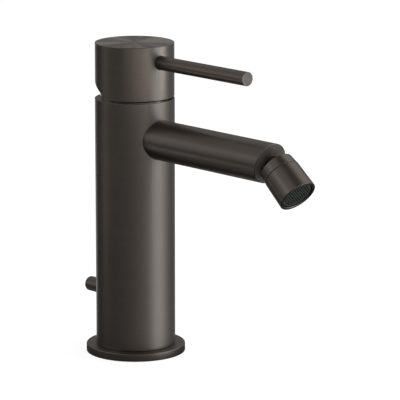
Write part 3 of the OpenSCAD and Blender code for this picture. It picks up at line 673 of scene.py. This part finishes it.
def moulded(name, tone, roughness, grain_size, depth, gloss=0.5):
    """Matt or satin moulded piece: fine grain, soft patches and uneven gloss."""
    material, tree, place = new_material(name, tone)
    grain = effect(tree, "Moulded grain", {"Place": place, "Grain": grain_size})
    uneven = balance(tree, grain["Tone"], grain["Patch"], 0.5)
    darker, lighter, off = [0.7 * c for c in tone], [min(1.0, 1.2 * c) for c in tone], 0.08
    put_surface(tree, grain["Height"], depth, strength=0.4, inputs={
        "Base Color": blend(tree, uneven, darker, lighter), "Specular IOR Level": gloss,
        "Roughness": carried(tree, uneven, *NOISE_RANGE, roughness - off, roughness + off)})
    return material


def finish_of(slot):
    """Material for one of the record's slots, made once: colour and roughness, and for a moulded piece the
    fineness and depth of its grain, and its gloss."""
    finish = bpy.context.scene.mixer_finish
    name, maker, *look = {
        "gunmetal": ("Brushed dark metal", brushed_metal),
        "brass": ("Machined brass", turned_metal, finish.brass, 0.3),
        "steel": ("Machined steel", turned_metal, finish.steel, 0.15),
        "copper": ("Machined copper", turned_metal, finish.copper, 0.32),
        "rubber": ("Seal rubber", moulded, finish.rubber, 0.6, 2200.0, 0.02 * MM),
        "nylon": ("White nylon", moulded, finish.nylon, 0.45, 1800.0, 0.015 * MM),
        "ceramic": ("Lapped ceramic", moulded, finish.ceramic, 0.2, 4000.0, 0.004 * MM),
        "dark_plastic": ("Dark satin plastic", moulded, finish.insert, 0.5, 2600.0, 0.012 * MM, 0.25),
    }[slot]
    return bpy.data.materials.get(name) or maker(name, *look)


# Operators

def in_view(tree):
    """Output that is 1 for what the camera sees, also through a clear piece, and 0 for other light."""
    path = add_node(tree, "ShaderNodeLightPath").outputs
    return calc(tree, path["Is Camera Ray"], path["Is Transmission Ray"], "MAXIMUM")


def unseen(held, *rays):
    """Hides an object from those kinds of rays."""
    for ray in rays:
        setattr(held, "visible_" + ray, False)


class MIXER_OT_stage(Operator):
    """Pale floor, soft light all round with brighter and darker panels, and the photograph's camera"""
    bl_idname = "mixer.stage"
    bl_label = "Stage, light and camera"

    def execute(self, context):
        scene, studio = context.scene, context.scene.mixer_studio
        disc = turned(np.array([[0, 0], [1, 0]]), angles(96))
        floor = hang("floor", skin("floor", [disc * studio.floor_r]))
        floor.data.materials.append(self.floor_material(studio))
        unseen(floor, "glossy")
        shade = hang("floor shade", skin("floor shade", [disc * studio.dark_r]))
        shade.data.materials.append(self.shade_material(studio))
        unseen(shade, "camera", "diffuse", "shadow", "transmission")
        scene.world = self.room(studio)
        lamp = bpy.data.lights.new("soft lamp", "AREA")
        lamp.shape, lamp.size, lamp.energy = "DISK", studio.lamp_d, studio.lamp
        held = hang("soft lamp", lamp)
        held.location = LAMP_PLACE
        held.rotation_euler = np.radians(LAMP_TURN)
        unseen(held, "glossy")
        for degrees, width, light in STRIPS:
            self.strip_lamp(studio, math.radians(degrees), width, light)
        camera = hang("camera", bpy.data.cameras.new("camera"))
        camera.location = CAMERA_PLACE
        camera.rotation_euler = (math.pi / 2 - studio.pitch, 0, studio.yaw)
        camera.data.lens, camera.data.sensor_width = studio.lens, CAMERA_SENSOR
        camera.data.clip_start, camera.data.clip_end = CAMERA_CLIP
        scene.camera = camera
        scene.view_settings.view_transform = "Standard"
        return {"FINISHED"}

    def floor_material(self, studio):
        """White floor with a faint shadow: mostly plain white, for what the camera sees."""
        material = bpy.data.materials.new("Pale floor")
        tree = blank(material)
        matt = add_node(tree, "ShaderNodeBsdfDiffuse", {"Color": (*studio.floor_tone, 1.0)})
        white = add_node(tree, "ShaderNodeEmission", {"Strength": studio.floor_white})
        share = calc(tree, in_view(tree), studio.floor_plain)
        mix = mix_shaders(tree, share, matt.outputs[0], white.outputs[0])
        add_node(tree, "ShaderNodeOutputMaterial", {0: mix})
        return material

    def shade_material(self, studio):
        """Dark floor that only metal sees: all of it close to the mixer, and a sector of it further out."""
        material = bpy.data.materials.new("Floor shade")
        tree = blank(material)
        place = add_node(tree, "ShaderNodeTexCoord").outputs["Object"]
        sector = calc(tree, self.ring(tree, self.bearing(tree, place, studio), DARK_FLOOR), PANEL_LIGHT)
        far = add_node(tree, "ShaderNodeVectorMath", {0: place}, operation="LENGTH").outputs["Value"]
        near = calc(tree, far, studio.shade_r, "LESS_THAN")
        dark = add_node(tree, "ShaderNodeEmission", {"Strength": studio.dark_light})
        clear = add_node(tree, "ShaderNodeBsdfTransparent")
        mix = mix_shaders(tree, calc(tree, sector, near, "MAXIMUM"), clear.outputs[0], dark.outputs[0])
        add_node(tree, "ShaderNodeOutputMaterial", {0: mix})
        return material

    def room(self, studio):
        """White room. Metal sees its panels, by the angle to the right of the camera and by height."""
        world = bpy.data.worlds.new("Studio")
        tree = blank(world)
        way = add_node(tree, "ShaderNodeTexCoord").outputs["Generated"]
        turn = self.bearing(tree, way, studio)
        rings = [self.ring(tree, turn, stops)
                 for stops in (LOW_PANELS, LEVEL_PANELS, HIGH_PANELS, UPPER_PANELS, CEILING_PANELS)]
        height = add_node(tree, "ShaderNodeSeparateXYZ", {0: way}).outputs["Z"]
        tone, zenith = ([light / PANEL_LIGHT] * 3 for light in (FLOOR, ZENITH))
        for (start, end), above in zip(RING_STEPS, [*rings, zenith]):
            step = carried(tree, height, start, end, interpolation_type="SMOOTHSTEP")
            tone = blend(tree, step, tone, above)
        panels = add_node(tree, "ShaderNodeBackground", {"Color": tone, "Strength": PANEL_LIGHT}).outputs[0]
        matt, white = (
            add_node(tree, "ShaderNodeBackground", {"Color": (1, 1, 1, 1), "Strength": light}).outputs[0]
            for light in (studio.room, 1.0))
        glossy = add_node(tree, "ShaderNodeLightPath").outputs["Is Glossy Ray"]
        inner = mix_shaders(tree, glossy, matt, panels)
        add_node(tree, "ShaderNodeOutputWorld", {0: mix_shaders(tree, in_view(tree), inner, white)})
        return world

    def bearing(self, tree, way, studio):
        """Bearing of a direction as a share of a turn: a half toward the camera, and more to its right."""
        right = (math.cos(studio.yaw), math.sin(studio.yaw), 0.0)
        toward = (math.sin(studio.yaw), -math.cos(studio.yaw), 0.0)
        sides = (add_node(tree, "ShaderNodeVectorMath", {0: way, 1: axis}, operation="DOT_PRODUCT")
                 for axis in (right, toward))
        angle = calc(tree, *(side.outputs["Value"] for side in sides), "ARCTAN2")
        return carried(tree, angle, -math.pi, math.pi)

    def ring(self, tree, turn, stops):
        """One ring of panels as a ramp over the share of a turn, in shares of PANEL_LIGHT."""
        made = add_node(tree, "ShaderNodeValToRGB", {0: turn})
        ramp = made.color_ramp
        ramp.elements.remove(ramp.elements[-1])
        for k, (degrees, light) in enumerate(stops):
            place = degrees / 360 + 0.5
            stop = ramp.elements[0] if k == 0 else ramp.elements.new(place)
            stop.position = place
            grey = light / PANEL_LIGHT
            stop.color = (grey * (1 - RED_LOSS * grey), grey, grey * (1 + BLUE_GAIN * grey), 1.0)
        return made.outputs[0]

    def strip_lamp(self, studio, turn, width, light):
        """Upright lamp that faces the cap, from a little below its foot to a little above its top."""
        start, end = high("column", 2) - studio.strip_below, high("handle_cap", 2) + studio.strip_above
        tall = end - start
        lamp = bpy.data.lights.new("strip lamp", "AREA")
        lamp.shape, lamp.size, lamp.size_y = "RECTANGLE", width, tall
        lamp.energy = STRIP_WATTS * light * width * tall
        held = hang("strip lamp", lamp)
        bearing = studio.yaw - math.pi / 2 + turn
        held.location = (studio.strip_r * math.cos(bearing), studio.strip_r * math.sin(bearing),
                         (start + end) / 2)
        held.rotation_euler = (math.pi / 2, 0, bearing + math.pi / 2)
        unseen(held, "camera", "diffuse", "transmission")


class MIXER_OT_inner_pieces(Operator):
    """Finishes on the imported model's own pieces, as the record's slots name them"""
    bl_idname = "mixer.inner_pieces"
    bl_label = "Finishes of the packed pieces"

    def execute(self, context):
        for name, node in frame["nodes"].items():
            material = finish_of(slot_of(name))
            if not node.material_slots:
                node.data.materials.append(material)
            for held in node.material_slots:
                held.material = material
        return {"FINISHED"}


class MIXER_OT_flange(Operator):
    """Base flange: a flat ring with a rounded upper edge"""
    bl_idname = "mixer.flange"
    bl_label = "Base flange"

    def execute(self, context):
        body = context.scene.mixer_body
        inner, outer, top = body.flange_hole / 2, body.flange_d / 2, high("base_flange", 2)
        ring = lathe([[inner, 0], [outer, 0], [outer, top], [inner, top]],
                     [0, body.flange_edge / 2, body.flange_edge, 0])
        add_piece("flange_ring", [ring], "base_flange", loop=True)
        return {"FINISHED"}


class MIXER_OT_column(Operator):
    """Column tube with the spout's hole, the knob's slot and the lock screw's hole"""
    bl_idname = "mixer.column"
    bl_label = "Column"

    def execute(self, context):
        body, spout = context.scene.mixer_body, context.scene.mixer_spout
        outer, inner = body.column_d / 2, body.column_d / 2 - body.column_wall
        foot, top = low("column", 2), high("column", 2)
        tube = lathe([[inner, foot], [outer, foot], [outer, top], [inner, top]],
                     [0, body.foot_edge, body.column_edge, body.column_edge / 3])
        spout_hole = bar(circle(spout.spout_d / 2 + SLIP, count=128), inner - 2 * PAST, outer + PAST)
        slot = circle(body.slot_w / 2)
        slot[:, 1] += np.sign(slot[:, 1]) * body.travel / 2
        slot_z = middle("waste_knob", 2) + body.travel / 2
        through = (inner - PAST, outer + PAST)
        cutters = [placed(spout_hole, (0, 0, middle("spout", 2)), tilted(0)),
                   placed(bar(slot, *through), (0, 0, slot_z), sideways(math.pi / 2)),
                   placed(bar(circle(body.screw_d / 2), *through), (0, 0, middle("column_screw", 2)),
                          sideways(body.screw_bearing))]
        add_piece("column_tube", [tube], "column", loop=True, cutters=cutters)
        return {"FINISHED"}


class MIXER_OT_cap(Operator):
    """Handle cap: a hollow disc whose rear is cut away on a slope, with the lever's seat"""
    bl_idname = "mixer.cap"
    bl_label = "Handle cap"

    def execute(self, context):
        handle = context.scene.mixer_handle
        outer, inner = handle.cap_d / 2, handle.cap_d / 2 - handle.cap_wall
        foot, top = low("handle_cap", 2), high("handle_cap", 2)
        ceiling = joint("handle_turn")["pos_m"][2] + handle.hollow_h
        edge = handle.cap_edge
        hair = 1e-4  # radians to either side of the relief's start, which keep its step upright
        start = math.asin(handle.relief_y / outer) + np.array([-hair, hair])
        a = np.sort(np.r_[facets(), start, np.pi - start])
        behind = outer * np.sin(a) > handle.relief_y
        edge_in, edge_out = (
            foot + behind * (handle.relief_step + (r * np.sin(a) - handle.relief_y) * math.tan(handle.relief))
            for r in (inner, outer))
        r = np.broadcast_to([0, inner, inner, outer, outer, 0], (len(a), 6))
        h = np.stack([0 * a + ceiling, 0 * a + ceiling, edge_in, edge_out, 0 * a + top, 0 * a + top], axis=1)
        profile = softened(np.stack([r, h], axis=-1), [0, 0, edge / 2, edge, edge, 0])
        seat = bar(circle(handle.lever_d / 2 + handle.seat_gap, count=96), outer - handle.lever_seat,
                   outer + PAST)
        add_piece("cap_body", [turned(profile, a)], "handle_cap", faced=(UP, 1.0),
                  cutters=[placed(seat, (0, 0, middle("lever_pin", 2)), tilted(0))])
        return {"FINISHED"}


class MIXER_OT_lever(Operator):
    """Lever: a plain round pin with a rounded tip"""
    bl_idname = "mixer.lever"
    bl_label = "Lever"

    def execute(self, context):
        handle = context.scene.mixer_handle
        start, end, r = -high("lever_pin", 1), -low("lever_pin", 1), handle.lever_d / 2
        seat, step = handle.cap_d / 2 - handle.lever_seat, 0.5 * MM
        thin = r - step
        rod = lathe([[0, start], [thin, start], [thin, seat], [r, seat], [r, end], [0, end]],
                    [0, 0, 0, 0, handle.lever_edge, 0], fewer=2)
        add_piece("lever_rod", [placed(rod, (0, 0, middle("lever_pin", 2)), tilted(0))], "lever_pin",
                  faced=(FORWARD, 0.15))
        return {"FINISHED"}


class MIXER_OT_dome(Operator):
    """Dome ring under the cap: a slice of a sphere about the lever's pivot"""
    bl_idname = "mixer.dome"
    bl_label = "Dome ring"

    def execute(self, context):
        body, handle = context.scene.mixer_body, context.scene.mixer_handle
        pivot, lip, bore = joint("handle_turn")["pos_m"][2], handle.dome_lip, handle.dome_bore
        r = handle.cap_d / 2 - handle.cap_wall - handle.dome_gap
        foot, seat, top = low("dome_ring", 2), high("column", 2) + SLIP, pivot + handle.dome_rise
        bore_h = 4 * MM
        step, spigot = foot + bore_h, body.column_d / 2 - body.column_wall - SLIP
        curve = arc(pivot, r, math.asin((seat - pivot) / r), math.asin(handle.dome_rise / r))
        rest = [[lip, top], [lip, step], [bore, step], [bore, foot], [spigot, foot], [spigot, seat]]
        radii = np.r_[np.zeros(len(curve) - 1), 0.3 * MM, 0.2 * MM, 0, 0, 0, 0, 0]
        add_piece("dome_slice", [lathe(np.r_[curve, rest], radii)], "dome_ring", loop=True)
        return {"FINISHED"}


class MIXER_OT_spout(Operator):
    """Spout: a tube with a slanted, closed end that holds the ball stud"""
    bl_idname = "mixer.spout"
    bl_label = "Spout"

    def execute(self, context):
        spout, a = context.scene.mixer_spout, facets()
        c, s = np.cos(a), np.sin(a)
        lean, inside = math.tan(spout.mitre), spout.end_wall / math.cos(spout.mitre)

        def round_tube(radius, place):
            """Ring about the spout's axis, at one distance or at one for each angle."""
            return np.stack([radius * c, radius * s, place + 0 * a], axis=1)

        def slanted(radius, back=0.0):
            """Ring where the tube of that radius meets the slanted end, or a face behind it."""
            return round_tube(radius, spout.reach - back + radius * s * lean)

        def round_stud(radius, back=0.0):
            """Ring about the stud's axis, which is square to the slanted end."""
            flat = np.stack([radius * c, radius * s * math.cos(spout.mitre) + back * math.sin(spout.mitre),
                             radius * s * math.sin(spout.mitre) - back * math.cos(spout.mitre)], axis=1)
            return flat + np.array([0, 0, spout.reach])

        outer, bore = spout.spout_d / 2, spout.spout_d / 2 - spout.spout_wall
        hole, stud, edge = spout.nipple_hole / 2, spout.stud_hole / 2, spout.end_edge
        shoulder = spout.seat + spout.shoulder
        rings = [round_tube(hole, spout.seat), round_tube(outer, spout.seat), slanted(outer),
                 round_stud(stud), round_stud(stud, spout.end_wall), slanted(bore, inside),
                 round_tube(bore, shoulder), round_tube(hole, shoulder)]
        tube = softened(np.stack(rings, axis=1), [0, 0, edge, edge / 2, 0, 0, 0, 0])
        add_piece("spout_tube", [placed(tube, (0, 0, middle("spout", 2)), tilted(0))], "spout", loop=True,
                  faced=(tilted(spout.mitre)[2], 0.3))
        return {"FINISHED"}


class MIXER_OT_ball_stud(Operator):
    """Ball stud: shank, thin flange, neck and drilled ball on the slanted end's axis"""
    bl_idname = "mixer.ball_stud"
    bl_label = "Ball stud"

    def execute(self, context):
        spout = context.scene.mixer_spout
        ball, shank, neck, bore = (d / 2 for d in (spout.ball_d, spout.shank_d, spout.stud_neck_d,
                                                   spout.stud_bore))
        thread_h, step, face = 3.5 * MM, 0.8 * MM, 0.85 * MM
        end, tail = spout.end_wall, spout.end_wall + thread_h
        flange, thread = shank + step, shank - step
        ball_curve = arc(spout.ball_out, ball, -math.acos(neck / ball), math.acos(bore / ball), steps=40)
        stem = [[bore, -tail], [thread, -tail], [thread, -end], [shank, -end], [shank, SLIP], [flange, SLIP],
                [flange, face], [neck, face]]
        radii = np.r_[0, 0.3 * MM, 0, 0.2 * MM, 0, 0.1 * MM, 0.25 * MM, 0.1 * MM, np.zeros(len(ball_curve))]
        stud = lathe(np.r_[stem, ball_curve], radii, fewer=2)
        base = (0, -spout.reach, middle("spout", 2))
        add_piece("ball_neck", [placed(stud, base, tilted(spout.mitre))], "ball_stud", loop=True)
        return {"FINISHED"}


class MIXER_OT_spray_head(Operator):
    """Collar and shell of the spray head, turned about its tilted axis"""
    bl_idname = "mixer.spray_head"
    bl_label = "Collar and shell"

    def execute(self, context):
        head, spout = context.scene.mixer_head, context.scene.mixer_spout
        centre, axes = joint("head_tilt")["pos_m"], tilted(head.tilt)
        socket, hollow, seat = spout.ball_d / 2 + SLIP, spout.ball_d / 2 + 1 * MM, 0.4 * MM
        inset, spigot_h = 1.7 * MM, 5 * MM
        spigot, end = head.seam_r - inset, head.seam_s + spigot_h
        fit, seam = spigot - SLIP, head.seam_s - head.seam_gap
        curve = arc(0, socket, math.asin(seat / socket), -math.asin(head.rim_back / socket), steps=16)
        outline = [[head.rim_r, -head.rim_back], [head.seam_r - 0.1 * MM, seam], [fit, seam], [fit, end],
                   [hollow, end], [hollow, seat]]
        radii = np.r_[0.7 * MM, 0.35 * MM, 0, 0, 0, 0, np.zeros(len(curve) - 1), 0.2 * MM]
        collar = lathe(np.r_[outline, curve], radii)
        add_piece("collar_ring", [placed(collar, centre, axes)], "nozzle_collar", loop=True)
        hole, mouth, bevel = head.aerator_r, head.mouth_s, head.mouth_bevel
        step, washer, plug = end + 0.4 * MM, end + 2 * MM, hollow - 0.5 * MM
        outline = [[spigot, head.seam_s], [head.seam_r, head.seam_s], [head.mouth_r, mouth],
                   [hole + bevel, mouth], [hole, mouth - bevel], [hole, washer], [plug, washer], [plug, step],
                   [spigot, step]]
        radii = [0, 0.35 * MM, 0.45 * MM, 0.1 * MM, 0.1 * MM, 0, 0, 0, 0]
        shell = lathe(outline, radii)
        add_piece("nozzle_body", [placed(shell, centre, axes)], "nozzle_shell", loop=True)
        return {"FINISHED"}


class MIXER_OT_aerator(Operator):
    """Ribbed insert in the spray head's mouth: a rimmed disc with straight ribs across it"""
    bl_idname = "mixer.aerator"
    bl_label = "Ribbed insert"

    def execute(self, context):
        head = context.scene.mixer_head
        face, r = head.mouth_s - head.grille_in, head.grille_r
        height, ledge, sink = 3.4 * MM, 1.1 * MM, 0.1 * MM
        floor, back, rim = face - head.rib_depth, face - height, r - head.grille_rim
        plug, step = r - ledge, face - 1 * MM
        grids = [lathe([[0, floor], [rim, floor], [rim, face], [r, face], [r, step], [plug, step],
                        [plug, back], [0, back]], [0, 0, 0.15 * MM, 0.25 * MM, 0, 0, 0, 0], fewer=2)]
        count = int(rim / head.rib_pitch)
        half_w, foot, top = head.rib_pitch / 4, floor - sink, face - sink
        outline = softened([[-half_w, foot], [-half_w, top], [half_w, top], [half_w, foot]],
                           [0, 0.16 * MM, 0.16 * MM, 0], steps=4)
        c, s = math.cos(head.rib_turn), math.sin(head.rib_turn)
        turn = np.array([[c, s, 0], [-s, c, 0], [0, 0, 1]])
        for y in head.rib_pitch * np.arange(-count, count + 1):
            half = math.sqrt(rim ** 2 - y ** 2) + sink
            rib = bar(outline + np.array([y, 0]), -half, half)
            grids.append(rib[..., [2, 0, 1]] @ turn)
        add_piece("rib_insert", [placed(g, joint("head_tilt")["pos_m"], tilted(head.tilt)) for g in grids],
                  "aerator_grille")
        return {"FINISHED"}


class MIXER_OT_knob(Operator):
    """Waste knob: a short round bar with a rounded end and the stem's hole"""
    bl_idname = "mixer.knob"
    bl_label = "Waste knob"

    def execute(self, context):
        waste = context.scene.mixer_waste
        fit = 0.01 * MM
        r, hole = waste.knob_d / 2, waste.stem_d / 2 + fit
        start, end = low("waste_knob", 1), high("waste_knob", 1)
        floor = start + waste.knob_hole
        knob = lathe([[0, floor], [hole, floor], [hole, start], [r, start], [r, end], [0, end]],
                     [0, 0, 0.1 * MM, 0.3 * MM, waste.knob_round, 0], fewer=2)
        base = (0, 0, middle("waste_knob", 2))
        add_piece("knob_body", [placed(knob, base, sideways(math.pi / 2))], "waste_knob")
        return {"FINISHED"}


OPERATORS = (MIXER_OT_stage, MIXER_OT_inner_pieces, MIXER_OT_flange, MIXER_OT_column, MIXER_OT_cap,
             MIXER_OT_lever, MIXER_OT_dome, MIXER_OT_spout, MIXER_OT_ball_stud, MIXER_OT_spray_head,
             MIXER_OT_aerator, MIXER_OT_knob)


class MIXER_PT_sidebar(Panel):
    """Sizes, finishes and steps of the mixer"""
    bl_idname = "MIXER_PT_sidebar"
    bl_label = "Bidet mixer"
    bl_space_type = "VIEW_3D"
    bl_region_type = "UI"
    bl_category = "Mixer"

    def draw(self, context):
        layout = self.layout
        for step in OPERATORS:
            layout.operator(step.bl_idname)
        for name, group in GROUPS.items():
            box = layout.box()
            for key in group.__annotations__:
                box.prop(getattr(context.scene, name), key)


def register():
    for group in GROUPS.values():
        bpy.utils.register_class(group)
    for name, group in GROUPS.items():
        setattr(bpy.types.Scene, name, PointerProperty(type=group))
    for kind in (*OPERATORS, MIXER_PT_sidebar):
        bpy.utils.register_class(kind)


def unregister():
    for kind in reversed((*OPERATORS, MIXER_PT_sidebar)):
        bpy.utils.unregister_class(kind)
    for name in GROUPS:
        delattr(bpy.types.Scene, name)
    for group in GROUPS.values():
        bpy.utils.unregister_class(group)


def main():
    """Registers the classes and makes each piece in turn."""
    register()
    for step in OPERATORS:
        family, name = step.bl_idname.split(".")
        if getattr(getattr(bpy.ops, family), name)() != {"FINISHED"}:
            raise RuntimeError(step.bl_label + " did not finish")


if __name__ == "__main__":
    main()
